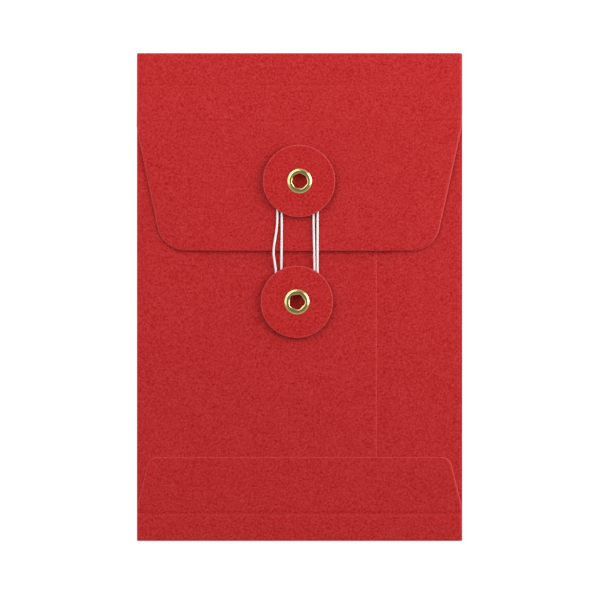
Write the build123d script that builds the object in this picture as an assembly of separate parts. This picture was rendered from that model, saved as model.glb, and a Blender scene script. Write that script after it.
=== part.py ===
from build123d import *
import os
from math import dist, pi

# A gusseted card envelope with a flap, two riveted discs and a tie string.
# It lies closed on its front panel with the tie side up: X to the right, Y from the
# bottom fold towards the flap fold, Z up out of the table. Millimetres.

# Driving sizes of the folded card
WIDTH = 114.0
HEIGHT = 171.0
CARD = 0.25
LAYER_GAP = 0.20
GLUE = 0.05
SLIT = 0.10
BASE_STRIP = 9.6
GUSSET_HALF = 9.6
GUSSET_END_GAP = 0.6
THROAT = 12.0

# Back seam: the left panel laps over a tab of the right panel
SEAM_X = 27.1
SEAM_LAP = 12.0
SEAM_RAMP = 6.0
GLUE_MARGIN = 2.0

# Closing flap, glued up over the back from the bottom
CLOSING_HEIGHT = 29.5
CLOSING_TOP_INSET = 4.4
CLOSING_SHOULDER = 11.8
CLOSING_CORNER = 4.0
CLOSING_GLUE_HEIGHT = 11.0

# Top flap, folded down over the back
FLAP_LENGTH = 69.3
FLAP_LIFT = 1.0
TOP_FOLD = 0.95
FLAP_STRAIGHT = 25.9
FLAP_TIP_INSET = 9.3
FLAP_CORNER = 10.0
FIRST_SCORE = 11.4
SECOND_SCORE = 24.0
SCORE_WIDTH = 1.2
SCORE_DEPTH = 0.08

# Tie discs and their eyelets
UPPER_DISC_X = -0.2
UPPER_DISC_ABOVE_TIP = 24.4
LOWER_DISC_X = -0.95
LOWER_DISC_BELOW_TIP = 17.9
DISC_DIAMETER = 25.3
DISC_THICKNESS = 0.6
DISC_EDGE = 0.15
DISC_PLAY = 0.08
END_PLAY = 0.05
HOLE_PLAY = 0.05
EYELET_BORE = 5.1
EYELET_WALL = 0.3
EYELET_FLANGE = 8.8
EYELET_RIM = 0.42
EYELET_DISH = 0.18
EYELET_LIP = 0.33
CLENCH_DIAMETER = 7.8
CLENCH_THICKNESS = 0.35

# Tie string, hitched round the lower barrel and wound over both discs' necks
STRING_DIAMETER = 1.0
STRING_SIDES = 8
STRING_LIFT = 0.08
DISC_LIFT = 0.10
HITCH_SLACK = 0.65
TURN_GAP = 0.6
WINDING_X = -0.8
LOOPS = 2
STEP_RUN = 5.7
STEP_LEAD = 0.8
STEP_RADIUS = 20.0
STRAND_SLACK = 1.1
SLACK_START = 4.7
SLACK_END = 13.0

# Heights of the layers and places that follow from the driving sizes
half_width = WIDTH / 2
top_y = HEIGHT / 2
bottom_y = -HEIGHT / 2
crease_y = bottom_y + BASE_STRIP
throat_y = top_y - THROAT
layer = CARD + LAYER_GAP
fold_radius = CARD + LAYER_GAP / 2
gusset_front_z = layer
gusset_back_z = 2 * layer
back_z = 3 * layer
back_top = back_z + CARD
tab_z = back_z - GLUE - CARD
closing_z = back_top + GLUE
base_fold_radius = (closing_z + CARD) / 2
flap_z = back_top + FLAP_LIFT
flap_top = flap_z + CARD
flap_root_top = 2 * TOP_FOLD
flap_tip_y = top_y - FLAP_LENGTH
first_score_y = top_y - FIRST_SCORE
second_score_y = top_y - SECOND_SCORE
flap_tip_half = half_width - FLAP_TIP_INSET
closing_top_half = half_width - CLOSING_TOP_INSET
upper_disc_at = (UPPER_DISC_X, flap_tip_y + UPPER_DISC_ABOVE_TIP)
lower_disc_at = (LOWER_DISC_X, flap_tip_y - LOWER_DISC_BELOW_TIP)
barrel_radius = EYELET_BORE / 2 + EYELET_WALL
string_radius = STRING_DIAMETER / 2
lower_string_z = back_top + STRING_LIFT + string_radius
upper_string_z = flap_top + STRING_LIFT + string_radius
lower_disc_z = lower_string_z + string_radius + DISC_LIFT
upper_disc_z = upper_string_z + string_radius + DISC_LIFT


def span(low, high, bottom, top):
    """A flat rectangle between two pairs of limits."""
    return Pos((low + high) / 2, (bottom + top) / 2) * Rectangle(high - low, top - bottom)


def along_y(profile, start, end):
    """Runs a profile drawn in X and Z from one Y to another."""
    return extrude(Plane((0, end, 0), x_dir=(1, 0, 0), z_dir=(0, -1, 0)) * profile, end - start)


def along_x(profile, start, end):
    """Runs a profile drawn in Y and Z from one X to another."""
    return extrude(Plane((start, 0, 0), x_dir=(0, 1, 0), z_dir=(1, 0, 0)) * profile, end - start)


def curled_edge(edge, inward, low, rise, radius):
    """Half of a fold: the card turns a quarter round up (rise 1) or down (rise -1) to the fold line."""
    far = low if rise > 0 else low + CARD
    middle = far + rise * radius
    centre = edge + inward * radius
    ring = Circle(radius) - Circle(radius - CARD)
    ends = sorted((far, middle - rise * SLIT / 2))
    return (Pos(centre, middle) * ring) & span(*sorted((edge, centre)), *ends)


def card_section(low_edge, high_edge, low, low_curl=0, high_curl=0, radius=fold_radius):
    """Cross-section of a card panel whose two edges may curl into folds."""
    start = low_edge + (radius if low_curl else 0)
    end = high_edge - (radius if high_curl else 0)
    section = span(start, end, low, low + CARD)
    if low_curl:
        section += curled_edge(low_edge, 1, low, low_curl, radius)
    if high_curl:
        section += curled_edge(high_edge, -1, low, high_curl, radius)
    return section


def drilled(panel, place, radius):
    """A panel with a round hole right through it."""
    return panel - Pos(*place) * Cylinder(radius, 4 * HEIGHT)


def front_panel():
    """The panel that lies on the table: folded up at its sides, and at the throat's end into the flap."""
    folded = along_y(card_section(-half_width, half_width, 0, 1, 1), crease_y + SLIT / 2, throat_y)
    throat = along_x(card_section(throat_y, top_y, 0, 0, 1, TOP_FOLD), -half_width, half_width)
    return folded + throat


def gusset_half(side, low, outer_curl):
    """Half of a side gusset, from the side fold in to the middle fold."""
    outer = side * half_width
    inner = outer - side * GUSSET_HALF
    if side < 0:
        section = card_section(outer, inner, low, outer_curl, -outer_curl)
    else:
        section = card_section(inner, outer, low, -outer_curl, outer_curl)
    return along_y(section, crease_y + GUSSET_END_GAP, throat_y)


def back_panel_left():
    """The wider half of the back, which carries the lower disc."""
    section = card_section(-half_width, SEAM_X, back_z, -1, 0)
    panel = along_y(section, crease_y + SLIT / 2, throat_y)
    return drilled(panel, lower_disc_at, barrel_radius + HOLE_PLAY)


def back_panel_right():
    """The narrow half of the back, stepped down into a glue tab under the left half."""
    ramp_end = SEAM_X + SEAM_RAMP
    tab_end = SEAM_X - SEAM_LAP
    tab = make_face(Polyline(
        (ramp_end, back_z),
        (ramp_end, back_top),
        (SEAM_X, tab_z + CARD),
        (tab_end, tab_z + CARD),
        (tab_end, tab_z),
        (SEAM_X, tab_z),
        close=True,
    ))
    section = card_section(ramp_end, half_width, back_z, 0, -1) + tab
    return along_y(section, crease_y + SLIT / 2, throat_y)


def seam_glue():
    """The glue film of the long back seam."""
    film = span(SEAM_X - SEAM_LAP + GLUE_MARGIN, SEAM_X - GLUE_MARGIN, tab_z + CARD, back_z)
    return along_y(film, crease_y + GLUE_MARGIN, throat_y - GLUE_MARGIN)


def closing_flap():
    """The trapezoid that closes the bottom, with rounded top corners, down to its lower crease."""
    top = bottom_y + CLOSING_HEIGHT
    shoulder = bottom_y + CLOSING_SHOULDER
    crease = crease_y + SLIT / 2
    outline = make_face(FilletPolyline(
        (-half_width, crease),
        (-half_width, shoulder),
        (-closing_top_half, top),
        (closing_top_half, top),
        (half_width, shoulder),
        (half_width, crease),
        radius=(0, 0, CLOSING_CORNER, CLOSING_CORNER, 0, 0),
        close=True,
    ))
    flap = extrude(Pos(0, 0, closing_z) * outline, CARD)
    return flap - score_groove(crease_y, closing_surface)


def closing_flap_glue():
    """The glue that holds the closing flap: a patch on each half of the back."""
    low = crease_y + GLUE_MARGIN
    high = low + CLOSING_GLUE_HEIGHT
    side = closing_top_half - GLUE_MARGIN
    left = span(-side, SEAM_X - GLUE_MARGIN, back_top, closing_z)
    right = span(SEAM_X + SEAM_RAMP + GLUE_MARGIN, side, back_top, closing_z)
    return [along_y(patch, low, high) for patch in (left, right)]


def closing_surface(y):
    """Height of the closing flap's outer face."""
    return closing_z + CARD


def flap_surface(y):
    """Height of the top flap's outer face: it rises from the fold to the second score, then runs level."""
    climb = (flap_top - flap_root_top) / (top_y - TOP_FOLD - second_score_y)
    return flap_top - climb * max(0, y - second_score_y)


def score_groove(at_y, surface):
    """The cutter of a shallow pressed score line in a surface, with its deepest line at one Y."""
    low, high = at_y - SCORE_WIDTH / 2, at_y + SCORE_WIDTH / 2
    groove = make_face(Polyline(
        (low, surface(low)),
        (at_y, surface(at_y) - SCORE_DEPTH),
        (high, surface(high)),
        (at_y, surface(at_y)),
        close=True,
    ))
    return along_x(groove, -WIDTH, WIDTH)


def base_strip(low, rise):
    """Half of the base: from its crease to the bottom fold, where it curls towards the other half."""
    section = card_section(bottom_y, crease_y - SLIT / 2, low, rise, 0, base_fold_radius)
    return along_x(section, -half_width, half_width)


def flap_panel():
    """The top flap: half of the top fold, a rise over the pocket and two score lines."""
    root_y = top_y - TOP_FOLD
    side = make_face(Polyline(
        (root_y, flap_root_top),
        (second_score_y, flap_top),
        (flap_tip_y, flap_top),
        (flap_tip_y, flap_z),
        (second_score_y, flap_z),
        (root_y, flap_root_top - CARD),
        close=True,
    ))
    side += curled_edge(top_y, -1, flap_root_top - CARD, -1, TOP_FOLD)
    outline = make_face(FilletPolyline(
        (-half_width, top_y),
        (half_width, top_y),
        (half_width, top_y - FLAP_STRAIGHT),
        (flap_tip_half, flap_tip_y),
        (-flap_tip_half, flap_tip_y),
        (-half_width, top_y - FLAP_STRAIGHT),
        radius=(0, 0, 0, FLAP_CORNER, FLAP_CORNER, 0),
        close=True,
    ))
    flap = along_x(side, -half_width, half_width) & extrude(outline, flap_top + CARD)
    for score_y in (first_score_y, second_score_y):
        flap -= score_groove(score_y, flap_surface)
    return drilled(flap, upper_disc_at, barrel_radius + HOLE_PLAY)


def tie_disc(place, low):
    """A punched disc with an eased upper rim, free to turn on its eyelet."""
    disc = Pos(*place, low + DISC_THICKNESS / 2) * Cylinder(DISC_DIAMETER / 2, DISC_THICKNESS)
    rim = disc.edges().filter_by(GeomType.CIRCLE).sort_by(Axis.Z)[-1]
    return drilled(chamfer(rim, DISC_EDGE), place, barrel_radius + DISC_PLAY)


def eyelet(place, panel_z, disc_z):
    """A set eyelet: rolled rim and dished flange on the disc, barrel, and a clench behind the panel."""
    bore = EYELET_BORE / 2
    rim = EYELET_FLANGE / 2
    clench = CLENCH_DIAMETER / 2
    seat = disc_z + DISC_THICKNESS + END_PLAY
    end = panel_z - CLENCH_THICKNESS
    ease = EYELET_WALL / 2
    profile = Polyline(
        (bore, seat),
        (bore, end + ease),
        (bore + ease, end),
        (clench - ease, end),
        (clench, end + ease),
        (clench, panel_z),
        (barrel_radius, panel_z),
        (barrel_radius, seat),
        (rim - EYELET_RIM / 3, seat),
        (rim, seat + EYELET_RIM / 3),
        (rim, seat + EYELET_RIM * 2 / 3),
        (rim - EYELET_RIM / 2, seat + EYELET_RIM),
        (rim - EYELET_RIM, seat + EYELET_RIM),
        ((rim + barrel_radius) / 2, seat + EYELET_DISH),
        (barrel_radius, seat + EYELET_LIP),
        (bore + ease, seat + EYELET_LIP),
        close=True,
    )
    return Pos(*place) * revolve(Plane.XZ * make_face(profile), Axis.Z)


def string_route():
    """The string's middle line: each half turn is one step wider than the last, so no turn closes."""
    hitch = barrel_radius + string_radius + HITCH_SLACK
    step = (STRING_DIAMETER + TURN_GAP) / 2
    lower_y = lower_disc_at[1]
    upper_y = upper_disc_at[1]
    ramp_top = flap_tip_y - STEP_LEAD
    ramp_foot = ramp_top - STEP_RUN
    pieces = []
    radii = []
    x = WINDING_X - hitch

    def half_turn(centre_y, z, up):
        nonlocal x
        radius = hitch + step * len(radii)
        radii.append(radius)
        across = 2 * radius * up
        crown = (x + across / 2, centre_y + radius * up, z)
        pieces.append(ThreePointArc((x, centre_y, z), crown, (x + across, centre_y, z)))
        x += across

    def run(up, slack=0):
        points = [
            (x, lower_y, lower_string_z),
            (x - slack / 3, ramp_foot, lower_string_z),
            (x - slack, ramp_top, upper_string_z),
            (x, upper_y, upper_string_z),
        ]
        if slack:
            points.insert(1, (x, lower_y + SLACK_START, lower_string_z))
            points.insert(-1, (x, upper_y - SLACK_END, upper_string_z))
        pieces.append(FilletPolyline(*(points if up > 0 else points[::-1]), radius=STEP_RADIUS))

    half_turn(lower_y, lower_string_z, 1)
    half_turn(lower_y, lower_string_z, -1)
    for loop in range(LOOPS):
        run(1, STRAND_SLACK if loop == LOOPS - 1 else 0)
        half_turn(upper_y, upper_string_z, 1)
        run(-1)
        if loop < LOOPS - 1:
            half_turn(lower_y, lower_string_z, -1)
    tail = hitch + step * len(radii)
    radii.append(tail)
    start = Vector(x, lower_y, lower_string_z)
    middle = start - (tail, 0, 0)
    half = tail * 0.5 ** 0.5
    pieces.append(ThreePointArc(start, middle + (half, -half, 0), middle - (0, tail, 0)))
    return Wire([edge for piece in pieces for edge in piece.edges()]), radii


def least_gap(route, spacing=0.5):
    """The least clear gap between stretches of the string that aren't neighbours along it."""
    count = round(route.length / spacing)
    points = [tuple(route.position_at(i / count)) for i in range(count + 1)]
    apart = round(pi * STRING_DIAMETER * 2 / spacing)
    gaps = [dist(points[i], points[j]) for i in range(count) for j in range(i + apart, count + 1)]
    return min(gaps) - STRING_DIAMETER


def tie_string():
    """The string as one unbroken tube along its route."""
    route, radii = string_route()
    section = RegularPolygon(string_radius, STRING_SIDES)
    tube = sweep(Plane(route @ 0, z_dir=route % 0) * section, path=route)
    print("string length", round(route.length, 2), "turn radii", [round(r, 2) for r in radii])
    print("string least gap to itself", round(least_gap(route), 3))
    print("string volume", round(tube.volume, 2), "section x length", round(section.area * route.length, 2))
    return tube


def build():
    """Every piece of the envelope under its own name."""
    return {
        "front_panel": front_panel(),
        "front_base_strip": base_strip(0, 1),
        "gusset_left_front": gusset_half(-1, gusset_front_z, -1),
        "gusset_left_back": gusset_half(-1, gusset_back_z, 1),
        "gusset_right_front": gusset_half(1, gusset_front_z, -1),
        "gusset_right_back": gusset_half(1, gusset_back_z, 1),
        "back_panel_left": back_panel_left(),
        "back_panel_right": back_panel_right(),
        "seam_glue": seam_glue(),
        "closing_flap": closing_flap(),
        "closing_flap_glue": closing_flap_glue(),
        "back_base_strip": base_strip(closing_z, -1) - score_groove(crease_y, closing_surface),
        "flap_panel": flap_panel(),
        "upper_disc": tie_disc(upper_disc_at, upper_disc_z),
        "upper_eyelet": eyelet(upper_disc_at, flap_z, upper_disc_z),
        "lower_disc": tie_disc(lower_disc_at, lower_disc_z),
        "lower_eyelet": eyelet(lower_disc_at, back_z, lower_disc_z),
        "tie_string": tie_string(),
    }


def main():
    os.makedirs("parts", exist_ok=True)
    for name, shape in build().items():
        solids = shape if isinstance(shape, list) else shape.solids()
        whole = solids[0] if len(solids) == 1 else Compound(list(solids))
        export_step(whole, f"parts/{name}.step")


main()
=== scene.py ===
# %% [markdown]
# # A string tie envelope, dressed in Blender
#
# The real thing is one sheet of red card, creased and glued into a flat pocket with bellows sides. A
# tapered flap closes it, and a cotton string is wound round the necks of two riveted card discs. The packed
# model is the fixed frame of this lesson: it says where each panel lies and how it moves. Every piece below
# is made in that frame. Sizes of the envelope are written in millimetres, and MM turns them into Blender's
# metres.

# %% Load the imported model
import math

import bmesh
import bpy
import numpy as np
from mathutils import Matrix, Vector


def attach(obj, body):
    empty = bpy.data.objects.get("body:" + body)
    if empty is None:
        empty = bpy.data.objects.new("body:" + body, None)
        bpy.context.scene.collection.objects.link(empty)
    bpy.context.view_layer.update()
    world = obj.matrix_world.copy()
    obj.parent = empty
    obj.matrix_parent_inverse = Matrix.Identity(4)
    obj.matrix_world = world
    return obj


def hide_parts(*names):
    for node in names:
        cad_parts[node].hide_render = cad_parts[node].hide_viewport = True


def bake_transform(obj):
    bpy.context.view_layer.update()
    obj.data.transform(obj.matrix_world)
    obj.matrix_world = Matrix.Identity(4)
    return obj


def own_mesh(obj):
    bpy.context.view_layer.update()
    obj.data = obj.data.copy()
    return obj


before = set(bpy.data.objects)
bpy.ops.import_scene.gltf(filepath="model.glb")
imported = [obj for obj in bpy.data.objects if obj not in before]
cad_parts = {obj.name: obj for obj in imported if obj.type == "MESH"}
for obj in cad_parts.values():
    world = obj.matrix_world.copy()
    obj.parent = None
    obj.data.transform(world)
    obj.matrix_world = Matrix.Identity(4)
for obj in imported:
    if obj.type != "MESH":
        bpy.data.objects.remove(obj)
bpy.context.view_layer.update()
scene = bpy.context.scene
MM = 0.001

# %% [markdown]
# ## Camera
#
# The photograph looks straight down on the tie side, with hardly any perspective. An orthographic camera
# would show that too, but other views of the model are framed through a lens. So this is a long lens two
# metres up. Its focal length follows from how wide the picture is at the height of the card.

# %% A long lens straight above the envelope
SENSOR = 36
CAMERA_HEIGHT, FACE_HEIGHT = 2.0, 0.002
PICTURE_WIDTH = 0.2102
AIM = (0.00014, -0.00105)
camera_data = bpy.data.cameras.new("overhead_camera")
camera_data.sensor_width = SENSOR
camera_data.lens = SENSOR * (CAMERA_HEIGHT - FACE_HEIGHT) / PICTURE_WIDTH
camera = bpy.data.objects.new("overhead_camera", camera_data)
camera.location = (*AIM, CAMERA_HEIGHT)
scene.collection.objects.link(camera)
scene.camera = camera
scene.view_settings.view_transform = "Standard"
print("lens", round(camera_data.lens, 1), "mm")

# %% [markdown]
# ## Nodes by name
#
# Light and finishes are small graphs of shader nodes. They could be drawn by hand in the shader editor, but
# a script has to add them one by one, which takes many lines. So short helpers do it: one makes a node and
# fills its inputs by name, one joins two sockets, one works out a number and one mixes two colours.

# %% Helpers for shader graphs
def add(tree, kind, inputs=None, **settings):
    """A new node of a kind, with its settings and the values of its named inputs."""
    node = tree.nodes.new(kind)
    for name, value in settings.items():
        setattr(node, name, value)
    for name, value in (inputs or {}).items():
        node.inputs[name].default_value = value
    return node


def join(tree, source, target):
    """A link from one socket to another."""
    tree.links.new(source, target)


def calc(tree, operation, *operands):
    """The result of a maths node on sockets or numbers."""
    node = add(tree, "ShaderNodeMath", operation=operation)
    for socket, value in zip(node.inputs, operands):
        if isinstance(value, (int, float)):
            socket.default_value = value
        else:
            join(tree, value, socket)
    return node.outputs[0]


MIX_SHARE, MIX_COLOURS, MIX_RESULT = 0, (6, 7), 2


def colour_mix(tree, share, *colours):
    """The mix of two colours by a share; each colour is a socket or three numbers."""
    node = add(tree, "ShaderNodeMix", data_type="RGBA")
    join(tree, share, node.inputs[MIX_SHARE])
    for index, colour in zip(MIX_COLOURS, colours):
        if isinstance(colour, tuple):
            node.inputs[index].default_value = (*colour, 1)
        else:
            join(tree, colour, node.inputs[index])
    return node.outputs[MIX_RESULT]


# %% [markdown]
# ## World dome
#
# A studio has pale walls all round and is darker overhead, where the camera hangs. A panorama of a real
# studio could be wrapped round the scene, but a ramp of greys over the height of each ray is enough for
# soft light. What the camera, metal or glass sees has a ramp of its own. It is white at the horizon, as the
# background, and dark overhead as well, so that the brass has a dark band to mirror.

# %% Rays that show in the picture
def seen_rays(tree):
    """1 for a ray from the camera, off a mirror or through something clear; 0 for one that only lights."""
    rays = add(tree, "ShaderNodeLightPath")
    mirrored = calc(tree, "MAXIMUM", rays.outputs["Is Camera Ray"], rays.outputs["Is Glossy Ray"])
    return calc(tree, "MAXIMUM", mirrored, rays.outputs["Is Transmission Ray"])


def grey_ramp(tree, place, greys):
    """Greys at even steps of a place between 0 and 1."""
    ramp = add(tree, "ShaderNodeValToRGB")
    stops = ramp.color_ramp.elements
    for step in range(1, len(greys) - 1):
        stops.new(step / (len(greys) - 1))
    for stop, grey in zip(stops, greys):
        stop.color = (grey, grey, grey, 1)
    join(tree, place, ramp.inputs["Fac"])
    return ramp.outputs["Color"]


# %% Light from the dome
DOME_LIGHT, DOME_SEEN = (0.665, 0.19), (1.0, 0.43, 0.19)
world = bpy.data.worlds.new("studio_dome")
scene.world = world
world.use_nodes = True
dome = world.node_tree
dome.nodes.clear()
height = add(dome, "ShaderNodeSeparateXYZ")
join(dome, add(dome, "ShaderNodeTexCoord").outputs["Generated"], height.inputs[0])
lights = grey_ramp(dome, height.outputs["Z"], DOME_LIGHT)
shows = grey_ramp(dome, height.outputs["Z"], DOME_SEEN)
backdrop = add(dome, "ShaderNodeBackground")
join(dome, colour_mix(dome, seen_rays(dome), lights, shows), backdrop.inputs["Color"])
join(dome, backdrop.outputs[0], add(dome, "ShaderNodeOutputWorld").inputs["Surface"])
print("dome from", DOME_LIGHT[0], "at the horizon to", DOME_LIGHT[-1], "overhead")

# %% [markdown]
# ## Lamps
#
# The photograph's light is soft and comes mostly from the right: rims shine there, and shadows gather at
# the left and below. A sun lamp would give hard shadows, so these are square area lamps, and the larger one
# is, the softer its shadow. The strong one is at the right. Weaker ones at the left and the upper left
# light the other rims.

# %% Soft lamps
def soft_lamp(name, place, size, watts):
    """A square lamp that faces the middle of the envelope."""
    data = bpy.data.lights.new(name, "AREA")
    data.shape = "SQUARE"
    data.size = size
    data.energy = watts
    lamp = bpy.data.objects.new(name, data)
    lamp.location = place
    lamp.rotation_euler = (-Vector(place)).to_track_quat("-Z", "Y").to_euler()
    scene.collection.objects.link(lamp)
    print(name, watts, "W")


soft_lamp("key_lamp", (0.420, 0.136, 0.235), size=0.45, watts=2.28)
soft_lamp("left_lamp", (-0.353, 0.115, 0.335), size=0.40, watts=0.74)
soft_lamp("upper_lamp", (-0.221, 0.383, 0.310), size=0.45, watts=0.99)

# %% [markdown]
# ## White table
#
# A plain white table carries the envelope and its shadow. Stronger lamps would make it white in the
# picture, but they would bleach the card too. So what is seen of it is partly emission, which stays white,
# and partly a matt surface, which takes the shadow. To rays that only light, it is a plain matt white.

# %% Table top
TABLE_REACH, TABLE_DROP = 3.0, 0.00005
corners = [(x * TABLE_REACH, y * TABLE_REACH, 0) for x, y in ((-1, -1), (1, -1), (1, 1), (-1, 1))]
table_mesh = bpy.data.meshes.new("table_top")
table_mesh.from_pydata(corners, [], [(0, 1, 2, 3)])
table = bpy.data.objects.new("table_top", table_mesh)
table.location.z = -TABLE_DROP
scene.collection.objects.link(table)
print("table", 2 * TABLE_REACH, "m wide")

# %% Table finish
GLOW, SHADOW_WHITE, MATT_WHITE = 0.88, (0.22, 0.22, 0.22, 1), (0.80, 0.80, 0.80, 1)
white_table = bpy.data.materials.new("white_table")
white_table.use_nodes = True
tree = white_table.node_tree
tree.nodes.clear()
matt = add(tree, "ShaderNodeBsdfDiffuse", {"Color": MATT_WHITE})
takes_shadow = add(tree, "ShaderNodeBsdfDiffuse", {"Color": SHADOW_WHITE})
glow = add(tree, "ShaderNodeEmission", {"Color": (1, 1, 1, 1), "Strength": GLOW})
shown = add(tree, "ShaderNodeAddShader")
join(tree, takes_shadow.outputs[0], shown.inputs[0])
join(tree, glow.outputs[0], shown.inputs[1])
choice = add(tree, "ShaderNodeMixShader")
join(tree, seen_rays(tree), choice.inputs[0])
join(tree, matt.outputs[0], choice.inputs[1])
join(tree, shown.outputs[0], choice.inputs[2])
join(tree, choice.outputs[0], add(tree, "ShaderNodeOutputMaterial").inputs["Surface"])
table_mesh.materials.append(white_table)
print(white_table.name, "glows at", GLOW)

# %% [markdown]
# ## Paper fibre
#
# Close up, dyed card is a felt of short fibres: a fine mottle of lighter and darker specks over a softer
# cloud, with a slightly bumpy surface. A scanned picture of card could give that, but it would repeat and
# would need a flat map of every sheet, so noise textures in space do it. Panels and discs both have it,
# each at its own strength, so it is a node group that puts out a tone, a roughness and a height.

# %% Helpers for node groups
def new_group(name, inputs, outputs):
    """An empty shader node group with named sockets, and its input and output nodes."""
    group = bpy.data.node_groups.new(name, "ShaderNodeTree")
    for socket, kind, value in inputs:
        made = group.interface.new_socket(socket, in_out="INPUT", socket_type=kind)
        if value is not None:
            made.default_value = value
    for socket, kind in outputs:
        group.interface.new_socket(socket, in_out="OUTPUT", socket_type=kind)
    return group, add(group, "NodeGroupInput"), add(group, "NodeGroupOutput")


def noise(tree, place, **inputs):
    """A noise texture at a place, between 0 and 1, with the values of its named inputs."""
    texture = add(tree, "ShaderNodeTexNoise", inputs)
    join(tree, place, texture.inputs["Vector"])
    return texture.outputs["Fac"]


# %% Node group: paper fibre
NOISE_MEAN, MIDDLE_TONE, GRAIN_HEIGHT = 0.5, 0.5, 0.5
ROUGH_SPAN, ROUGH_LEAST = 0.2, 0.60
fibre, fibre_in, fibre_out = new_group(
    "paper_fibre",
    [("Vector", "NodeSocketVector", None), ("Specks", "NodeSocketFloat", 0.5),
     ("Cloud", "NodeSocketFloat", 0.2)],
    [("Tone", "NodeSocketFloat"), ("Roughness", "NodeSocketFloat"), ("Height", "NodeSocketFloat")])
spot = fibre_in.outputs["Vector"]
specks = noise(fibre, spot, Scale=1700, Detail=2, Roughness=0.6, Distortion=0.6)
cloud = noise(fibre, spot, Scale=210, Detail=3, Roughness=0.55)
grain = noise(fibre, spot, Scale=3600, Detail=2, Roughness=0.6, Distortion=1.2)
tone = MIDDLE_TONE
for texture, strength in ((specks, "Specks"), (cloud, "Cloud")):
    swing = calc(fibre, "SUBTRACT", texture, NOISE_MEAN)
    tone = calc(fibre, "MULTIPLY_ADD", swing, fibre_in.outputs[strength], tone)
join(fibre, tone, fibre_out.inputs["Tone"])
join(fibre, calc(fibre, "MULTIPLY_ADD", grain, ROUGH_SPAN, ROUGH_LEAST), fibre_out.inputs["Roughness"])
join(fibre, calc(fibre, "MULTIPLY_ADD", grain, GRAIN_HEIGHT, specks), fibre_out.inputs["Height"])
print(fibre.name, len(fibre.nodes), "nodes")

# %% [markdown]
# ## Cut edges
#
# Where card is cut or rubbed, broken fibres stand out and look paler than the pressed face. Here the paling
# is partly that and partly a painted highlight along the cut edges, strongest at the sheets' side edges and
# at the discs' rims. Blender can find edges by itself, with a Bevel node or by pointiness, but neither tells
# a cut from a fold. So each sheet carries a number at its points, 0 inside and rising to 1 or more at a cut
# edge. This group breaks it up with a little noise and lightens the colour by it.

# %% Node group: cut edge
FRAY_SPAN, FRAY_LEAST = 0.9, 0.1
edge_group, edge_in, edge_out = new_group(
    "cut_edge",
    [("Vector", "NodeSocketVector", None), ("Color", "NodeSocketColor", (0.5, 0.03, 0.03, 1)),
     ("Pale", "NodeSocketColor", (0.7, 0.12, 0.12, 1)), ("Edge", "NodeSocketFloat", 0.0)],
    [("Color", "NodeSocketColor")])
fray = noise(edge_group, edge_in.outputs["Vector"], Scale=900, Detail=2, Roughness=0.6)
broken = calc(edge_group, "MULTIPLY_ADD", fray, FRAY_SPAN, FRAY_LEAST)
# Painted highlight: the edge number pales the colour, partly as paler cut fibres and partly as light on the
# edge.
pale_and_highlight_share = calc(edge_group, "MULTIPLY", edge_in.outputs["Edge"], broken)
paled = colour_mix(edge_group, pale_and_highlight_share, edge_in.outputs["Color"], edge_in.outputs["Pale"])
join(edge_group, paled, edge_out.inputs["Color"])
print(edge_group.name, len(edge_group.nodes), "nodes")

# %% [markdown]
# ## Red card
#
# The panels and the discs are dyed through and matt, with a weak gloss. One plain red would look like
# plastic, so both finishes place the two groups above between their colours and the shader. The discs are a
# coarser board in a slightly deeper red, so they get values of their own and not a finish of another kind.

# %% Helpers for finishes
def new_finish(name):
    """A new material, its node tree, its Principled shader and the place on the object."""
    material = bpy.data.materials.new(name)
    material.use_nodes = True
    tree = material.node_tree
    place = add(tree, "ShaderNodeTexCoord").outputs["Object"]
    return material, tree, tree.nodes["Principled BSDF"], place


def relief(tree, shader, height, strength, depth):
    """A bump by a height on a shader's normal."""
    bump = add(tree, "ShaderNodeBump", {"Strength": strength, "Distance": depth * MM})
    join(tree, height, bump.inputs["Height"])
    join(tree, bump.outputs["Normal"], shader.inputs["Normal"])


# %% Card finishes
CARD_GLOSS, CARD_CLOUD = 0.13, 0.25


def card_finish(name, dark, light, pale, speckle):
    """A dyed card: mottled between two reds, paler at its cut edges, with a fibrous bump."""
    material, tree, shader, place = new_finish(name)
    shader.inputs["Specular IOR Level"].default_value = CARD_GLOSS
    felt = add(tree, "ShaderNodeGroup", node_tree=fibre)
    felt.inputs["Specks"].default_value = speckle
    felt.inputs["Cloud"].default_value = CARD_CLOUD
    join(tree, place, felt.inputs["Vector"])
    # Painted highlight: this group pales the colour at cut edges, partly as paler fibres and partly as light
    # on them.
    pale_and_highlight = add(tree, "ShaderNodeGroup", node_tree=edge_group)
    pale_and_highlight.inputs["Pale"].default_value = (*pale, 1)
    join(tree, place, pale_and_highlight.inputs["Vector"])
    join(tree, colour_mix(tree, felt.outputs["Tone"], dark, light), pale_and_highlight.inputs["Color"])
    edge = add(tree, "ShaderNodeAttribute", attribute_name="cut_edge")
    join(tree, edge.outputs["Fac"], pale_and_highlight.inputs["Edge"])
    join(tree, pale_and_highlight.outputs["Color"], shader.inputs["Base Color"])
    join(tree, felt.outputs["Roughness"], shader.inputs["Roughness"])
    relief(tree, shader, felt.outputs["Height"], strength=0.4, depth=0.05)
    print("finish:", name)
    return material


# The pale reds show at cut edges: paler cut fibres and a painted highlight. The discs' paler red mostly
# paints the highlight on their rounded rims.
red_card = card_finish("red_card", dark=(0.398, 0.003, 0.004), light=(0.564, 0.038, 0.040),
                       pale=(0.63, 0.06, 0.064), speckle=2.7)
disc_card = card_finish("disc_card", dark=(0.394, 0.003, 0.004), light=(0.569, 0.033, 0.034),
                        pale=(0.74, 0.14, 0.15), speckle=3.2)

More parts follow.
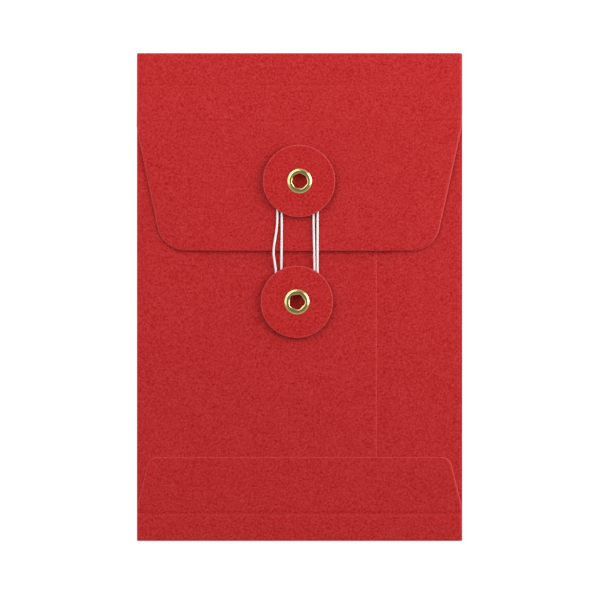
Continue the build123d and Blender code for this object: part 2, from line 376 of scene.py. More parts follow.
# %% [markdown]
# ## A sheet of card
#
# A panel could be a plane with a Solidify modifier, but its cut edges would be knife sharp. Here a sheet is
# a grid of points on its middle surface, each with a normal, a share of the thickness and the cut edge
# number. At a cut edge the outside rolls down over the last half millimetre or so, as a die leaves it, so
# that edges towards the light shine and the others are dark. A score is a line where the outside is pressed
# in.

# %% Rolled edges
CARD = 0.25
EASE = ((0.0, 0.30), (0.06, 0.50), (0.16, 0.71), (0.30, 0.88), (0.48, 0.97), (0.65, 1.0))
EASE_CLEAR = 0.7


def eased(positions, start=1.0, end=1.0):
    """Positions across a sheet with extra lines just inside its cut edges, and the share of thickness at
    each. Start and end say how wide the roll is at each edge, with 0 for an edge that runs into a fold."""
    first, last = positions[0], positions[-1]
    inner = [p for p in positions if first + start * EASE_CLEAR < p < last - end * EASE_CLEAR]
    low = [(d * start, s) for d, s in EASE] if start else [(0.0, 1.0)]
    high = [(d * end, s) for d, s in reversed(EASE)] if end else [(0.0, 1.0)]
    places = [first + d for d, _ in low] + inner + [last - d for d, _ in high]
    shares = [s for _, s in low] + [1.0] * len(inner) + [s for _, s in high]
    return np.array(places), np.array(shares)


print("card", CARD, "mm thick, rolled over", EASE[-1][0], "mm")

# %% From a mesh to a finished piece
SHARP_ANGLE = math.radians(50)


def finished(name, mesh, material):
    """An object for a mesh: normals outward, smooth up to sharp corners, with a finish."""
    shaped = bmesh.new()
    shaped.from_mesh(mesh)
    bmesh.ops.recalc_face_normals(shaped, faces=shaped.faces)
    shaped.to_mesh(mesh)
    shaped.free()
    mesh.shade_smooth()
    mesh.set_sharp_from_angle(angle=SHARP_ANGLE)
    mesh.materials.append(material)
    piece = bpy.data.objects.new(name, mesh)
    scene.collection.objects.link(piece)
    print(name, len(mesh.polygons), "faces")
    return piece


def mark_cut(mesh, numbers):
    """Writes the cut edge number at every point of a mesh."""
    edge = mesh.attributes.new("cut_edge", "FLOAT", "POINT")
    edge.data.foreach_set("value", np.array(numbers, np.float32))


# %% A closed sheet from its middle surface
CUT_GAIN = 1.6


def card_piece(name, middle, normal, share, outside=0, pressed=0, pale_and_highlight=1):
    """A closed sheet from arrays of middle points, unit normals and shares of the thickness. Outside says
    which side of the normals loses what the share and a pressed depth take away; 0 is both alike. The last
    argument is how much paler than usual the cut edges are; above 1 the extra paling is a painted highlight."""
    rows, cols = share.shape
    loss = (1 - share) * CARD + pressed
    over = normal * (CARD / 2 - loss * (1 + outside) / 2)[..., None]
    under = normal * (CARD / 2 - loss * (1 - outside) / 2)[..., None]
    points = np.concatenate([(middle + over).reshape(-1, 3), (middle - under).reshape(-1, 3)]) * MM
    index = np.arange(rows * cols).reshape(rows, cols)
    upper = np.stack([index[:-1, :-1], index[:-1, 1:], index[1:, 1:], index[1:, :-1]], -1).reshape(-1, 4)
    lower = upper[:, ::-1] + rows * cols
    ring = np.concatenate([index[0], index[1:, -1], index[-1, -2::-1], index[-2:0:-1, 0]])
    ahead = np.roll(ring, -1)
    wall = np.stack([ring, ring + rows * cols, ahead + rows * cols, ahead], -1)
    mesh = bpy.data.meshes.new(name)
    mesh.from_pydata(points.tolist(), [], np.concatenate([upper, lower, wall]).tolist())
    # Cut edge number: paler cut fibres and a painted highlight along the edge.
    cut = np.clip((1 - share) * CUT_GAIN, 0, 1) * pale_and_highlight
    mark_cut(mesh, np.tile(cut.ravel(), 2))
    return finished(name, mesh, red_card)


# %% [markdown]
# ## Outline of the flap
#
# The flap is straight at its sides, then tapered to a blunt tip with round corners, and two scores run
# across it. Its outline could be drawn as a curve and filled, but a filled face has no rows to bend. So a
# function gives the half width at each row of points. The rows lie closer at the corners and the scores,
# where the shape turns fast.

# %% Half the width of a tapered tongue
HALF = 57.0
HAIR = 0.05


def tongue_half(depth, length, tip_half, corner):
    """Half the width of a tongue of card at a depth from its tip: round, then tapered, then full."""
    slope = (HALF - tip_half) / length
    lean = math.hypot(1, slope)
    if depth > length:
        return HALF
    if depth < corner - corner * slope / lean:
        centre = tip_half + slope * corner - corner * lean
        return centre + math.sqrt(max(0, corner ** 2 - (corner - depth) ** 2))
    return tip_half + slope * depth


def corner_depths(corner, count):
    """Depths of a number of rows round a tongue's corner, close together at the tip."""
    return [corner * (1 - math.cos(math.radians(angle))) for angle in np.linspace(0, 80, count)]


def spaced(rows):
    """Rows in order, without those that lie a hair or less behind another."""
    rows = sorted(set(rows))
    return [rows[0]] + [b for a, b in zip(rows, rows[1:]) if b - a > HAIR]


# %% Rows of the flap, from its root at the top fold to its tip
ROOT, SCORES = 84.55, (74.1, 61.5)
FLAP_TIP, TAPER_TOP, TIP_HALF, CORNER = 16.2, 59.6, 47.7, 10.0
TIP_ROLL = 0.4
EVEN_START, EVEN_STEP = 8.5, 1.5
SCORE_STEPS = np.linspace(-1.4, 1.4, 17)
flap_rows = [FLAP_TIP + depth for depth in corner_depths(CORNER, 15)]
flap_rows += [score + step for score in SCORES for step in SCORE_STEPS]
flap_rows += [*np.arange(FLAP_TIP + EVEN_START, ROOT, EVEN_STEP), ROOT]
flap_rows, flap_share = eased(spaced(flap_rows), 1.0, 0)
flap_rows = flap_rows[::-1]
flap_share = 1 - TIP_ROLL * (1 - flap_share[::-1])
flap_half = [tongue_half(y - FLAP_TIP, TAPER_TOP - FLAP_TIP, TIP_HALF, CORNER) for y in flap_rows]
print(len(flap_rows), "rows, half the width from", flap_half[0], "to", round(flap_half[-1], 1), "mm")

# %% [markdown]
# ## Front panel and flap
#
# The plain front panel runs on into the flap: at the top fold the card turns right round on itself. They
# could be two panels with a hinge, but a real fold has no gap. The flap rises over the pocket up to its
# second score. It lies a little askew and its sides hang a little, as in the photograph. Its side edges are
# paler than its other cut edges: a painted highlight in the card's colour.

# %% Helpers for folded paths
def arc(centre, radius, start, end, steps):
    """Points of an arc between two angles in degrees; a pair of radii makes it part of an ellipse."""
    angles = np.radians(np.linspace(start, end, steps + 1))
    return np.array(centre) + np.ones(2) * radius * np.stack([np.cos(angles), np.sin(angles)], -1)


def path_normals(path):
    """Unit normals to the left of a path of two coordinates."""
    tangent = np.gradient(path, axis=0)
    tangent /= np.linalg.norm(tangent, axis=1)[:, None]
    return np.stack([-tangent[:, 1], tangent[:, 0]], -1)


# %% Path from the base crease, round the top fold, to the flap's tip
THROAT, BASE_LINE, FOLD_X = 73.5, -74.9, 56.65
FRONT_Z, ROOT_Z, FLAP_Z = 0.125, 1.775, 2.725
TURN_Z, TURN_RADIUS = 0.95, 0.825
front_rows = np.concatenate([np.linspace(BASE_LINE, THROAT - HAIR, 30), np.linspace(THROAT, ROOT, 8)])
front_half = [FOLD_X if y < THROAT else HALF for y in front_rows]
top_fold = arc((ROOT, TURN_Z), TURN_RADIUS, -90, 90, 16)[1:-1]
flap_path = [(y, np.interp(y, (SCORES[1], ROOT), (FLAP_Z, ROOT_Z))) for y in flap_rows]
sheet_path = np.concatenate([[(y, FRONT_Z) for y in front_rows], top_fold, flap_path])
sheet_half = np.array(front_half + [HALF] * len(top_fold) + flap_half)
before_flap = len(front_rows) + len(top_fold)
print(len(sheet_path), "points on the path,", before_flap, "of them before the flap")

# %% Sheets whose path is drawn in Y and Z
LEFT_ROLL, RIGHT_ROLL = 1.0, 1.8
SAG_START = 0.6
# Side edges of the swept sheets pale this much more than other cut edges: a painted highlight.
SIDE_BAND, SIDE_HIGHLIGHT = 1.5, 2.8
across, across_share = eased(list(np.linspace(-HALF, HALF, 77)), LEFT_ROLL, RIGHT_ROLL)


def swept_along_x(name, path, halves, share, pressed=0, aside=0, sag=0):
    """A sheet as wide as the halves say at each point of its path, with its outside on the right. At each
    point it may be pressed in, lie aside, and sag at its sides."""
    middle = np.zeros((len(path), len(across), 3))
    middle[..., 0] = halves[:, None] * across[None] / HALF + np.reshape(aside, (-1, 1))
    middle[..., 1:] = path[:, None, :]
    hanging = np.clip((np.abs(across) / HALF - SAG_START) / (1 - SAG_START), 0, 1) ** 2
    middle[..., 2] -= np.reshape(sag, (-1, 1)) * hanging
    normals = np.zeros_like(middle)
    normals[..., 1:] = path_normals(path)[:, None, :]
    # Painted highlight: the side edges pale more than the other cut edges.
    pale_and_highlight = np.where(np.abs(across) > HALF - SIDE_BAND, SIDE_HIGHLIGHT, 1.0)
    shares = share[:, None] * across_share[None]
    return card_piece(name, middle, normals, shares, -1, np.reshape(pressed, (-1, 1)), pale_and_highlight)


print(len(across), "lines across a sheet")

# %% Front and flap as one sheet
SCORE_DEPTH, SCORE_WIDTH = 0.10, 0.55
ASKEW = ((20, 52, 66), (-0.33, -0.18, 0))
SAG = ((40, 66), (0.5, 0))


def valley(y, middle, depth, width):
    """Depth of a pressed line at one Y."""
    return depth * math.exp(-((y - middle) / width) ** 2)


def on_flap(values, before=0.0):
    """Values for the whole sheet: one value before the flap, then one for each of its rows."""
    return np.concatenate([np.full(before_flap, before), values])


scored = [sum(valley(y, score, SCORE_DEPTH, SCORE_WIDTH) for score in SCORES) for y in flap_rows]
front_and_flap = swept_along_x("front_and_flap", sheet_path, sheet_half, on_flap(flap_share, 1.0),
                               on_flap(scored), on_flap(np.interp(flap_rows, *ASKEW)),
                               on_flap(np.interp(flap_rows, *SAG)))

# %% [markdown]
# ## Holes for the eyelets
#
# The eyelets pass through the flap and the back, and through their bores one sees the layer behind. The
# grid of a sheet could be laid out round the hole, but that would be hard to read. A Boolean modifier with
# a plain drill punches each hole in one step, and its result is kept as the mesh.

# %% Punching a hole
UPPER_EYE = (-0.2, 40.6)
LOWER_EYE = (-0.95, -1.7)
HOLE = 2.9
DRILL_LENGTH, DRILL_HEIGHT = 3.0, 2.3


def punched(piece, place):
    """Punches a round hole through a piece at a place in X and Y."""
    rod = bmesh.new()
    bmesh.ops.create_cone(rod, cap_ends=True, segments=48, radius1=HOLE * MM, radius2=HOLE * MM,
                          depth=DRILL_LENGTH * MM)
    bmesh.ops.translate(rod, verts=rod.verts, vec=(place[0] * MM, place[1] * MM, DRILL_HEIGHT * MM))
    drill_mesh = bpy.data.meshes.new("drill")
    rod.to_mesh(drill_mesh)
    rod.free()
    drill = bpy.data.objects.new("drill", drill_mesh)
    scene.collection.objects.link(drill)
    hole = piece.modifiers.new("hole", "BOOLEAN")
    hole.operation = "DIFFERENCE"
    hole.object = drill
    kept = bpy.data.meshes.new_from_object(piece.evaluated_get(bpy.context.evaluated_depsgraph_get()))
    piece.modifiers.clear()
    piece.data = kept
    bpy.data.objects.remove(drill)
    kept.set_sharp_from_angle(angle=SHARP_ANGLE)
    print(piece.name, "punched,", len(kept.polygons), "faces")


# %% The flap's hole and its fold
punched(front_and_flap, UPPER_EYE)
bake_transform(front_and_flap)
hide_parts("front_panel", "flap_panel")

# %% [markdown]
# ## Side folds and gussets
#
# Each side is a bellows: the card turns a half round at the front, runs in, turns back at the middle and
# turns again into the back. So the two halves of a gusset are one sheet that bends at the middle fold, and
# short half rounds join them to the panels. Their paths are drawn in X and Z and run the length of the
# pocket.

# %% Sheets whose path is drawn in X and Z
def swept_along_y(name, path, start, end, start_roll=1.0, rows=40, cut=False, outside=0):
    """A sheet along a path, between two Y values; the path's last edge may be a cut one."""
    along, along_share = eased(list(np.linspace(start, end, rows)), start_roll)
    share = np.ones(len(path))
    if cut:
        share[-len(EASE):] = [s for _, s in reversed(EASE)]
    middle = np.zeros((len(path), len(along), 3))
    middle[..., ::2] = path[:, None, :]
    middle[..., 1] = along[None]
    normals = np.zeros_like(middle)
    normals[..., ::2] = path_normals(path)[:, None, :]
    return card_piece(name, middle, normals, share[:, None] * along_share[None], outside)


def straight(first, last, steps):
    """Points along a straight line, both ends included."""
    return np.linspace(np.array(first, float), np.array(last, float), steps + 1)


# %% Bellows of both sides
GUSSET_END = -75.3
MIDDLE_X = 47.75
FOLD, FRONT_TURN, MIDDLE_TURN, BACK_TURN = 0.225, 0.35, 0.80, 1.25
FRONT_LAYER, BACK_LAYER = FRONT_TURN + FOLD, MIDDLE_TURN + FOLD
for side, word in ((-1, "left"), (1, "right")):
    flip = np.array([side, 1.0])
    front_fold = arc((FOLD_X, FRONT_TURN), FOLD, -90, 90, 12) * flip
    fold_piece = swept_along_y(f"side_fold_{word}", front_fold, GUSSET_END, THROAT)
    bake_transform(fold_piece)

    inner = [straight((FOLD_X, FRONT_LAYER), (MIDDLE_X, FRONT_LAYER), 8),
             arc((MIDDLE_X, MIDDLE_TURN), FOLD, 270, 90, 12)[1:-1],
             straight((MIDDLE_X, BACK_LAYER), (FOLD_X, BACK_LAYER), 8)]
    if side > 0:
        inner.append(arc((FOLD_X, BACK_TURN), FOLD, -90, -1, 6)[1:])
    gusset = swept_along_y(f"gusset_{word}", np.concatenate(inner) * flip, GUSSET_END, THROAT)
    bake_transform(gusset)
    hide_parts(f"gusset_{word}_front", f"gusset_{word}_back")

# %% The left gusset's turn into the back
WIDE_TURN = 0.9
BACK_EDGE = FOLD_X + FOLD - WIDE_TURN
back_fold = np.concatenate([arc((FOLD_X, BACK_TURN), FOLD, -90, 0, 6),
                            arc((BACK_EDGE, BACK_TURN), (WIDE_TURN, FOLD), 0, 90, 10)[1:]])
back_fold *= np.array([-1.0, 1.0])
back_fold_left = swept_along_y("back_fold_left", back_fold, GUSSET_END, THROAT)
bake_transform(back_fold_left)

# %% [markdown]
# ## Back panels
#
# The back is two sheets that meet in a long glued seam. The left one lies on top, and its cut edge is
# pressed down a little and shows as a pale line: light on its roll and a painted highlight in its colour.
# The right one slopes down under it into a glue tab. Its outer fold has a flat land that catches the light,
# with a slight ridge inside it. A flat box would do for the size, but the light on these small steps is what
# makes the seam show, so both are drawn as paths.

# %% Left back
BACK_Z, CREASE, SEAM = 1.475, -75.9, 27.1
SEAM_FLAT, SEAM_ROLL, SEAM_DIP = 1.2, 1.3, 0.04
roll_reach = EASE[-1][0]
seam_edge = [(SEAM - SEAM_ROLL * inset, BACK_Z - SEAM_DIP * (roll_reach - inset) ** 2)
             for inset, _ in reversed(EASE)]
left_path = np.concatenate([straight((-BACK_EDGE, BACK_Z), (SEAM - SEAM_FLAT, BACK_Z), 60), seam_edge])
# The cut seam edge gets the cut edge number, which pales it: pale fibres and a painted highlight.
back_left = swept_along_y("back_left", left_path, CREASE + HAIR, THROAT, start_roll=0, rows=100, cut=True,
                          outside=1)
punched(back_left, LOWER_EYE)
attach(back_left, "back")

# %% [markdown]
# ## Crown of the back
#
# In the photograph the hole of the upper eyelet is a fairly bright red, so the card behind it must lie
# close. Here the left back springs up by half a millimetre under the flap. It could be sculpted, but moving
# each point by a smooth hump takes three lines, and the hump ends inside the panel's edges.

# %% The back's crown under the upper eyelet
CROWN, CROWN_X, CROWN_Y = 0.5, 26.0, 22.0
for vertex in back_left.data.vertices:
    beside = (vertex.co.x / MM - UPPER_EYE[0]) / CROWN_X
    along = (vertex.co.y / MM - UPPER_EYE[1]) / CROWN_Y
    vertex.co.z += CROWN * MM * (max(0, 1 - beside ** 2) * max(0, 1 - along ** 2)) ** 2
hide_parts("back_panel_left")
print("crown", CROWN, "mm high")

# %% Right back
TAB_Z, TAB_START, TAB_END = 1.175, 26.6, 15.1
LAP_START, LAP_FLAT = 33.1, 33.4
LAND_TURN, LAND_CENTRE, LAND_END = (0.275, 0.06), 56.6, 54.2
lap_rows = np.linspace(LAP_START, SEAM, 16)
lap_fall = [(1 - math.cos(math.pi * (LAP_START - x) / (LAP_START - SEAM))) / 2 for x in lap_rows]
lap = [(x, BACK_Z - (BACK_Z - TAB_Z) * fall) for x, fall in zip(lap_rows, lap_fall)]
land = [(56.4, 1.335), (56.0, 1.395), (55.6, 1.455), (55.3, 1.49), (55.1, 1.495), (54.8, 1.485),
        (54.5, 1.476)]
right_path = np.concatenate([arc((LAND_CENTRE, BACK_TURN), LAND_TURN, 1, 90, 8), land,
                             straight((LAND_END, BACK_Z), (LAP_FLAT, BACK_Z), 20), lap,
                             straight((TAB_START, TAB_Z), (TAB_END, TAB_Z), 10)])
back_right = swept_along_y("back_right", right_path, CREASE + HAIR, THROAT, start_roll=0, rows=60, outside=-1)
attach(back_right, "back")
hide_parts("back_panel_right")

# %% [markdown]
# ## Folding base
#
# The bottom strip is creased along the front and along the back, so that the pocket gets a flat base when
# it opens. Its halves move on different bodies, and a sheet right round the bottom would stretch between
# them. So each half is a sheet of its own that starts at its panel, and the two curl towards each other at
# the bottom fold.

# %% Front half of the base
BASE_END, BASE_SHOULDER = -85.1, 0.6
BOTTOM_CENTRE, BOTTOM_TURN = (-85.175, TURN_Z), (0.20, TURN_RADIUS)
base_path = np.concatenate([straight((BASE_LINE, FRONT_Z), (BASE_END, FRONT_Z), 40),
                            arc(BOTTOM_CENTRE, BOTTOM_TURN, 270, 181, 12)])[::-1]
base_half = np.where(base_path[:, 0] > CREASE + BASE_SHOULDER, FOLD_X, HALF)
front_base = swept_along_x("front_base", base_path, base_half, np.ones(len(base_path)))
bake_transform(front_base)
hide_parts("front_base_strip")

# %% [markdown]
# ## Closing flap
#
# The back strip runs on into the closing flap, a low trapezoid with round corners that is glued up over the
# back. It is a tongue like the big flap, so the same function gives its outline. The crease between flap
# and strip is pressed deeper than the scores, because the card bends there each time the pocket opens.

# %% Closing flap and back half of the base
CLOSING_Z = 1.775
CLOSING_TOP, SHOULDER, CLOSING_HALF, CLOSING_CORNER = -56.0, -73.7, 52.6, 4.0
CREASE_DEPTH, CREASE_WIDTH = 0.18, 0.65
CLOSING_STEP = 0.8
closing_rows = [CLOSING_TOP - depth for depth in corner_depths(CLOSING_CORNER, 10)]
closing_rows += [*np.arange(BASE_END, CLOSING_TOP - CLOSING_CORNER, CLOSING_STEP), *(CREASE + SCORE_STEPS)]
closing_rows, closing_share = eased(spaced(closing_rows), 0, 1.0)
curl = arc(BOTTOM_CENTRE, BOTTOM_TURN, 90, 179, 12)
closing_path = np.concatenate([[(y, CLOSING_Z) for y in closing_rows[::-1]], curl])
closing_share = np.concatenate([closing_share[::-1], np.ones(len(curl))])
closing_half = np.array([tongue_half(CLOSING_TOP - y, CLOSING_TOP - SHOULDER, CLOSING_HALF, CLOSING_CORNER)
                         for y in closing_path[:, 0]])
creased = [valley(y, CREASE, CREASE_DEPTH, CREASE_WIDTH) for y in closing_path[:, 0]]
closing = swept_along_x("closing_flap_and_base", closing_path, closing_half, closing_share, creased)
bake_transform(closing)
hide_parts("closing_flap", "back_base_strip")

# %% [markdown]
# ## Glue films
#
# Two thin films of dried paper glue hold the seam and the closing flap. They could be left out, as they
# hardly show, or modelled with ragged edges. Here the solids from the frame stay, with a finish of their
# own: pale, slightly glossy and uneven.

# %% Dried glue
def uneven_gloss(tree, shader, texture, span, least):
    """A roughness that rises from the least by a span of a texture."""
    join(tree, calc(tree, "MULTIPLY_ADD", texture, span, least), shader.inputs["Roughness"])


dried_glue, tree, shader, place = new_finish("dried_glue")
blots = noise(tree, place, Scale=400, Detail=3)
film = colour_mix(tree, blots, (0.70, 0.62, 0.48), (0.84, 0.80, 0.70))
join(tree, film, shader.inputs["Base Color"])
uneven_gloss(tree, shader, blots, span=0.3, least=0.25)
for name in ("seam_glue", "closing_flap_glue"):
    glue_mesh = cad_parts[name].data
    glue_mesh.materials.clear()
    glue_mesh.materials.append(dried_glue)
    print(name, "keeps its solid")

# %% [markdown]
# ## Discs
#
# The discs are punched from board and turn on their eyelets. Each is a turned shape: a flat face that dips
# a little where the eyelet presses on it, and a rim that is rounded by the punch. A Screw modifier could
# spin the profile, but here it is spun in code, because the cut edge number then follows from the ring.
# That number pales the rounded rim: paler cut board and a painted highlight.

# %% Turned pieces
def turned(name, profile, place, material, edges=None, shift=None, segments=128):
    """A closed ring from a profile of radius and height; shift may move each point of it with the angle."""
    angles = np.linspace(0, 2 * math.pi, segments, endpoint=False)
    profile = np.array(profile, float)
    radius = np.repeat(profile[:, :1], segments, 1)
    height = np.repeat(profile[:, 1:2], segments, 1)
    if shift is not None:
        radius, height = shift(radius, height, angles)
    x = place[0] + radius * np.cos(angles)
    y = place[1] + radius * np.sin(angles)
    points = np.stack([x, y, height], -1) * MM
    index = np.arange(radius.size).reshape(radius.shape)
    under, beside = np.roll(index, -1, 0), np.roll(index, -1, 1)
    faces = np.stack([index, under, np.roll(under, -1, 1), beside], -1).reshape(-1, 4)
    mesh = bpy.data.meshes.new(name)
    mesh.from_pydata(points.reshape(-1, 3).tolist(), [], faces.tolist())
    if edges is not None:
        mark_cut(mesh, np.repeat(edges, segments))
    return finished(name, mesh, material)


# %% Section of a disc
DISC, DISC_BORE, DISC_RIM = 0.60, 2.93, 12.65
DIP, DIP_EDGE, DIP_RUN = 0.08, 5.4, 1.2
ROUND_OUT, ROUND_DOWN = 0.34, 0.28


def disc_profile(low):
    """Radius, height and cut edge number round a disc's section, from the bore out over the top and back."""
    high = low + DISC
    rows = [(DISC_BORE, low, 0.6), (DISC_BORE, high - 0.04, 0.6)]
    for r in np.linspace(3.0, 5.5, 14):
        pressed = max(0, min(1, (DIP_EDGE - r) / DIP_RUN)) ** 2
        rows.append((r, high - DIP * pressed, 0))
    rows += [(r, high, 0) for r in np.linspace(5.8, 12.25, 20)]
    # The cut edge numbers on the rounding paint a highlight on the rim, as well as paler cut board.
    for angle in np.radians(np.linspace(0, 90, 8)):
        out = DISC_RIM - ROUND_OUT * (1 - math.sin(angle))
        rows.append((out, high - ROUND_DOWN * (1 - math.cos(angle)), 0.25 + 0.6 * math.sin(angle)))
    rows += [(DISC_RIM, low + 0.10, 0.8), (DISC_RIM - 0.1, low, 0.4), (8.0, low, 0)]
    return [row[:2] for row in rows], [row[2] for row in rows]


# %% Upper and lower disc
DISC_Z = {"upper": 4.03, "lower": 2.78}
for word, place in (("upper", UPPER_EYE), ("lower", LOWER_EYE)):
    profile, edges = disc_profile(DISC_Z[word])
    disc = turned(f"{word}_tie_disc", profile, place, disc_card, edges, segments=160)
    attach(disc, f"{word}_disc")
    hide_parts(f"{word}_disc")

# %% [markdown]
# ## Brass
#
# The eyelets are thin rolled brass with a bright, slightly greenish polish. A plain metal with one
# roughness would look like a computer drawing of brass. So the colour drifts a little between two tones,
# the gloss is unevenly worn, and a fine bump gives the marks of the press.

# %% Brass finish
brass, tree, shader, place = new_finish("rolled_brass")
shader.inputs["Metallic"].default_value = 1.0
drift = noise(tree, place, Scale=900, Detail=3, Roughness=0.6)
marks = noise(tree, place, Scale=5200, Detail=2, Distortion=2.0)
tarnish = colour_mix(tree, drift, (0.66, 0.53, 0.19), (0.86, 0.71, 0.32))
join(tree, tarnish, shader.inputs["Base Color"])
uneven_gloss(tree, shader, marks, span=0.16, least=0.12)
relief(tree, shader, marks, strength=0.12, depth=0.03)
print("finish:", brass.name)

# %% [markdown]
# ## Eyelets
#
# A set eyelet is rolled over the disc: its barrel bends out steeply at an inner lip, has a narrow crest and
# slopes down to its rim. The press has pinched the lip into flats, so the hole isn't quite round. Behind
# the card the barrel is clenched outward. A torus would give a round bead with a round hole. So it is a
# turned profile again, and a shift of the inner rings by the angle makes the flats.

# %% Section of an eyelet
BARREL, BARREL_OUT, LIP = 2.60, 2.85, 2.62
RIM_SLOPE = ((0.15, 0.419), (0.30, 0.405), (0.42, 0.375), (0.54, 0.330), (0.66, 0.275), (0.76, 0.215),
             (0.85, 0.150), (0.92, 0.090), (0.97, 0.045), (1.0, 0.01))
CLENCH = ((3.80, 0.0), (3.90, -0.10), (3.86, -0.26), (3.70, -0.35), (3.10, -0.33), (2.72, -0.24),
          (2.58, -0.05))
LIP_FOOT, LIP_HEIGHT = 0.09, 0.33


def eyelet_profile(panel, seat, crest, rim):
    """Radius and height round a section, from the bore at the lip, over the rim and down to the clench."""
    rows = [(BARREL, panel + 0.2), (BARREL, seat - 0.1)]
    rows += [(crest - (crest - LIP) * math.cos(angle), seat + LIP_FOOT + LIP_HEIGHT * math.sin(angle))
             for angle in np.radians(np.linspace(0, 90, 12))]
    rows += [(crest + (rim - crest) * share, seat + rise) for share, rise in RIM_SLOPE]
    rows += [(rim - 0.1, seat), (BARREL_OUT, seat), (BARREL_OUT, panel)]
    rows += [(radius, panel + rise) for radius, rise in CLENCH]
    return rows


# %% Pinched lips
LIP_EDGE, LIP_FADE, LIP_RISE = 3.45, 0.75, 0.35


def pinched(flats, turn, depth, seat, aside):
    """A shift that presses the lip's rings into a number of uneven flats, fading out towards the rolled rim,
    and sets the whole rim a little to one side."""
    def shift(radius, height, angles):
        uneven = 0.35 * np.cos(2 * angles + 1.1) + 0.25 * np.cos(3 * angles + turn)
        flat = np.cos(flats * (angles + turn)) + uneven
        near = np.clip((LIP_EDGE - radius) / LIP_FADE, 0, 1) * np.clip((height - seat + 0.9) / 0.8, 0, 1)
        off = aside * np.cos(angles) * np.clip((height - seat + 0.3) / 0.3, 0, 1)
        return radius + depth * flat * near + off, height + LIP_RISE * depth * flat * near
    return shift


# %% Upper and lower eyelet
EYE_SEAT = DISC + 0.05


def set_eyelet(word, body, place, panel, crest, rim, flats, turn, depth, aside):
    """One eyelet on its body, from the height of its panel, the radii of its crest and rim, and its flats."""
    seat = DISC_Z[word] + EYE_SEAT
    profile = eyelet_profile(panel, seat, crest, rim)
    eye = turned(f"{word}_rolled_eyelet", profile, place, brass,
                 shift=pinched(flats, turn, depth, seat, aside), segments=112)
    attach(eye, body)
    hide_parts(f"{word}_eyelet")


set_eyelet("upper", "flap", UPPER_EYE, panel=2.60, crest=3.10, rim=4.28,
           flats=7, turn=0.25, depth=0.08, aside=0.2)
set_eyelet("lower", "back", LOWER_EYE, panel=1.35, crest=3.24, rim=4.36,
           flats=5, turn=0.10, depth=0.15, aside=0.0)

# %% [markdown]
# ## The string's line
#
# The string is hitched round the lower neck and then wound twice round both necks, so four strands run
# between the discs. One of them lies slack, as in the photograph. A rope simulation could lay it, but would
# lay it differently after every change. So its line is one NURBS spline with the points of a short list of
# turns and runs. Such a spline cuts inside its points, so those of a turn are set out a little.

# %% Runs between the discs, as points beside the strand
LOWER_Z, UPPER_Z = 2.18, 3.43
RAMP_FOOT, RAMP_TOP = 9.7, 15.6
RUN_LOW, RUN_HIGH = 3.0, 34.0
tight = [(0, RUN_LOW, LOWER_Z), (0, RAMP_FOOT, LOWER_Z), (0.1, RAMP_TOP, UPPER_Z), (0.2, RUN_HIGH, UPPER_Z)]
leaning = [(-0.05, RUN_HIGH, UPPER_Z), (0.3, RAMP_TOP, UPPER_Z), (0.45, RAMP_FOOT, LOWER_Z),
           (0.2, RUN_LOW, LOWER_Z)]
loose = [(0, RUN_LOW, LOWER_Z), (-0.15, 8.2, LOWER_Z), (-0.72, 12.2, 2.72), (-1.25, 15.8, UPPER_Z),
         (-0.67, 19.8, UPPER_Z), (0.1, 24.2, UPPER_Z), (0.32, 31.0, UPPER_Z)]
straight_down = [(-0.1, y, z) for _, y, z in reversed(tight)]
print("slack of the loose strand", max(abs(aside) for aside, _, _ in loose), "mm")

# %% Turns round the necks, each followed by a run
WIND_X, HITCH, STEP = -0.8, 4.0, 0.8
TURN_STEP = 22.5
LOWER_NECK, UPPER_NECK = (LOWER_EYE[1], LOWER_Z), (UPPER_EYE[1], UPPER_Z)
WINDING = ((LOWER_NECK, 1, 180, []), (LOWER_NECK, -1, 180, tight), (UPPER_NECK, 1, 180, leaning),
           (LOWER_NECK, -1, 180, loose), (UPPER_NECK, 1, 180, straight_down), (LOWER_NECK, -1, 90, []))
route = []
strand, radius = WIND_X - HITCH, HITCH
for (neck_y, neck_z), up, sweep, run in WINDING:
    centre = strand + radius * up
    out = radius / math.cos(math.radians(TURN_STEP / 2))
    for angle in np.radians(np.arange(0, sweep + 1, TURN_STEP)):
        route.append((centre - up * out * math.cos(angle), neck_y + up * out * math.sin(angle), neck_z))
    strand = centre + radius * up
    route += [(strand + aside, y, z) for aside, y, z in run]
    radius += STEP
print(len(route), "points on the route")

# %% One spline with the route's points
line_data = bpy.data.curves.new("string_line", "CURVE")
line_data.dimensions = "3D"
line_data.resolution_u = 10
spline = line_data.splines.new("NURBS")
spline.points.add(len(route) - 1)
for point, (x, y, z) in zip(spline.points, route):
    point.co = (x * MM, y * MM, z * MM, 1)
spline.order_u = 3
spline.use_endpoint_u = True
line = bpy.data.objects.new("string_line", line_data)
scene.collection.objects.link(line)
bpy.context.view_layer.update()
sampled = bpy.data.meshes.new_from_object(line.evaluated_get(bpy.context.evaluated_depsgraph_get()))
string_path = np.array([v.co for v in sampled.vertices])
bpy.data.objects.remove(line)
string_length = float(np.linalg.norm(np.diff(string_path, axis=0), axis=1).sum())
print(len(string_path), "points on the line,", round(string_length / MM, 1), "mm long")

# %% [markdown]
# ## Cotton
#
# The string is soft white cotton. Real fluff would be thousands of hairs, which are slow to render and
# can't be exported. So the finish gives the softness: a fine bump, hardly any gloss, a rough surface and
# some sheen, which is the pale haze of fibres that stand off a yarn at its edges.

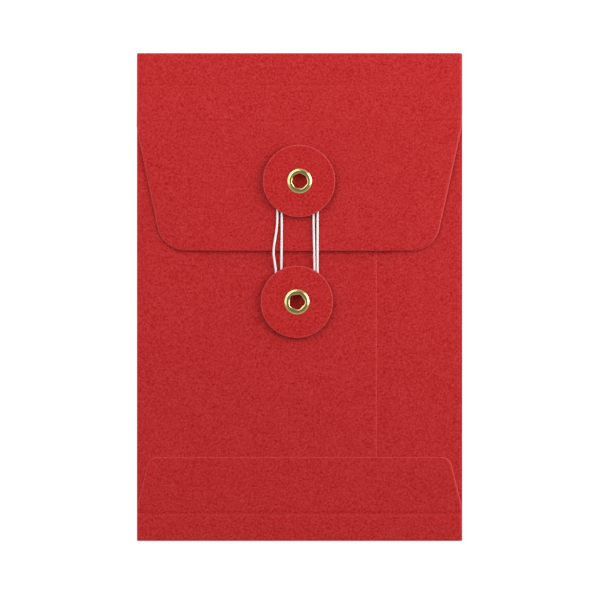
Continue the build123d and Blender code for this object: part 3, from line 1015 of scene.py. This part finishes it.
# %% Cotton finish
cotton, tree, shader, place = new_finish("cotton_yarn")
shader.inputs["Specular IOR Level"].default_value = 0.15
shader.inputs["Sheen Weight"].default_value = 0.25
shader.inputs["Sheen Roughness"].default_value = 0.5
fluff = noise(tree, place, Scale=4200, Detail=3, Roughness=0.7, Distortion=1.0)
yarn = colour_mix(tree, fluff, (0.89, 0.88, 0.86), (0.985, 0.975, 0.96))
join(tree, yarn, shader.inputs["Base Color"])
uneven_gloss(tree, shader, fluff, span=0.2, least=0.75)
relief(tree, shader, fluff, strength=0.5, depth=0.06)
print("finish:", cotton.name)

# %% [markdown]
# ## Twisted yarns
#
# Three yarns are twisted into a string of just under a millimetre. A bevelled curve would be a smooth hose,
# and three separate helices would cut into each other. So the string is one closed tube, whose section has
# three lobes that turn as it goes along, and its thickness wavers a little.

# %% Frame of a path
def path_frame(path, spacing):
    """Even points along a path, how far along each is, and unit vectors beside and above it."""
    walked = np.concatenate([[0], np.cumsum(np.linalg.norm(np.diff(path, axis=0), axis=1))])
    along = np.linspace(0, walked[-1], round(walked[-1] / spacing))
    centre = np.stack([np.interp(along, walked, path[:, k]) for k in range(3)], -1)
    tangent = np.gradient(centre, axis=0)
    tangent /= np.linalg.norm(tangent, axis=1)[:, None]
    beside = np.cross(tangent, (0, 0, 1.0))
    beside /= np.linalg.norm(beside, axis=1)[:, None]
    return centre, along, beside, np.cross(beside, tangent)


# %% Three yarns laid along the line
STRING_RADIUS, LAY, SPACING = 0.39 * MM, 2.4 * MM, 0.28 * MM
HOLLOW, LOBE = 0.80, 0.20
WAVER, WAVER_LENGTH = 0.03, 1.7 * MM


def laid_string(name, path, sides=18):
    """A closed tube along the path, whose section has three lobes that turn once in each length of lay."""
    centre, along, beside, above = path_frame(path, SPACING)
    turn = 2 * math.pi * along / LAY
    angle = np.linspace(0, 2 * math.pi, sides, endpoint=False)[None]
    lobe = np.abs(np.cos(1.5 * (angle - turn[:, None])))
    waver = 1 + WAVER * np.sin(along / WAVER_LENGTH)
    radius = STRING_RADIUS * (HOLLOW + LOBE * lobe) * waver[:, None]
    outward = np.cos(angle)[..., None] * beside[:, None] + np.sin(angle)[..., None] * above[:, None]
    points = centre[:, None] + radius[..., None] * outward
    index = np.arange(len(along) * sides).reshape(-1, sides)
    beyond = np.roll(index, -1, 1)
    faces = np.stack([index[:-1], beyond[:-1], beyond[1:], index[1:]], -1).reshape(-1, 4).tolist()
    mesh = bpy.data.meshes.new(name)
    mesh.from_pydata(points.reshape(-1, 3).tolist(), [], faces + [index[0].tolist(), index[-1].tolist()])
    return finished(name, mesh, cotton)


string = laid_string("tie_yarns", string_path)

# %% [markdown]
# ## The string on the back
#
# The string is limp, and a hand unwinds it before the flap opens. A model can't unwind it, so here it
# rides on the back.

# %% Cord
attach(string, "back")
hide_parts("tie_string")
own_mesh(string)
print("cord", round(string_length / MM, 1), "mm along its line")

# %% [markdown]
# ## Last update
#
# The dressed model has to keep the size of the frame. The last call brings the scene up to date.

# %% Update the scene
bpy.context.view_layer.update()
